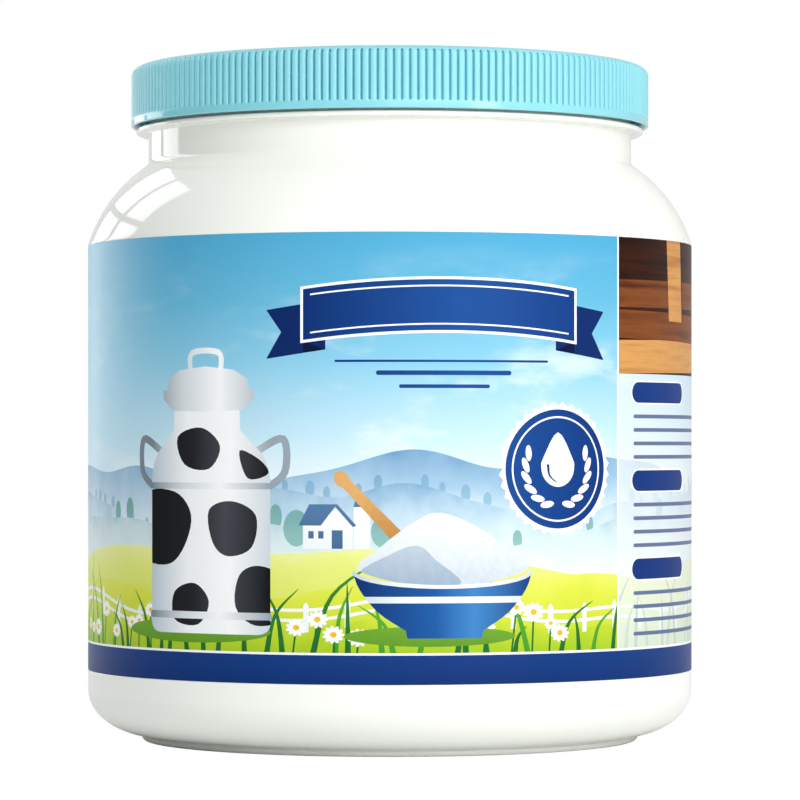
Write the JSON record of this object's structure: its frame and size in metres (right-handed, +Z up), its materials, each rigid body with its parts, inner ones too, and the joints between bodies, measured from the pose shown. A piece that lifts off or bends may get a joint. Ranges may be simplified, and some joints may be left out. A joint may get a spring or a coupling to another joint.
{
  "type": "milk powder jar",
  "caption": "Squat wide-mouth plastic jar of milk powder with a ribbed screw lid, rounded shoulder and heel, and a printed wrap-round label.",
  "frame": {"origin": "middle of the foot ring, on the surface the jar stands on", "axes": "+Z up along the jar's axis; -Y is the front, where the main picture of the label is; +X is to the right seen from the front"},
  "size_m": [0.14, 0.14, 0.156],
  "materials": {
    "jar_plastic": "glossy opaque white blow-moulded plastic",
    "lid_plastic": "light aqua blue moulded plastic, semi-gloss",
    "label_film": "printed film, glossy, sky blue over green with a navy foot band"
  },
  "bodies": {
    "root": {"jar": "jar_plastic", "label": "label_film", "lid": "lid_plastic"}
  },
  "joints": []
}
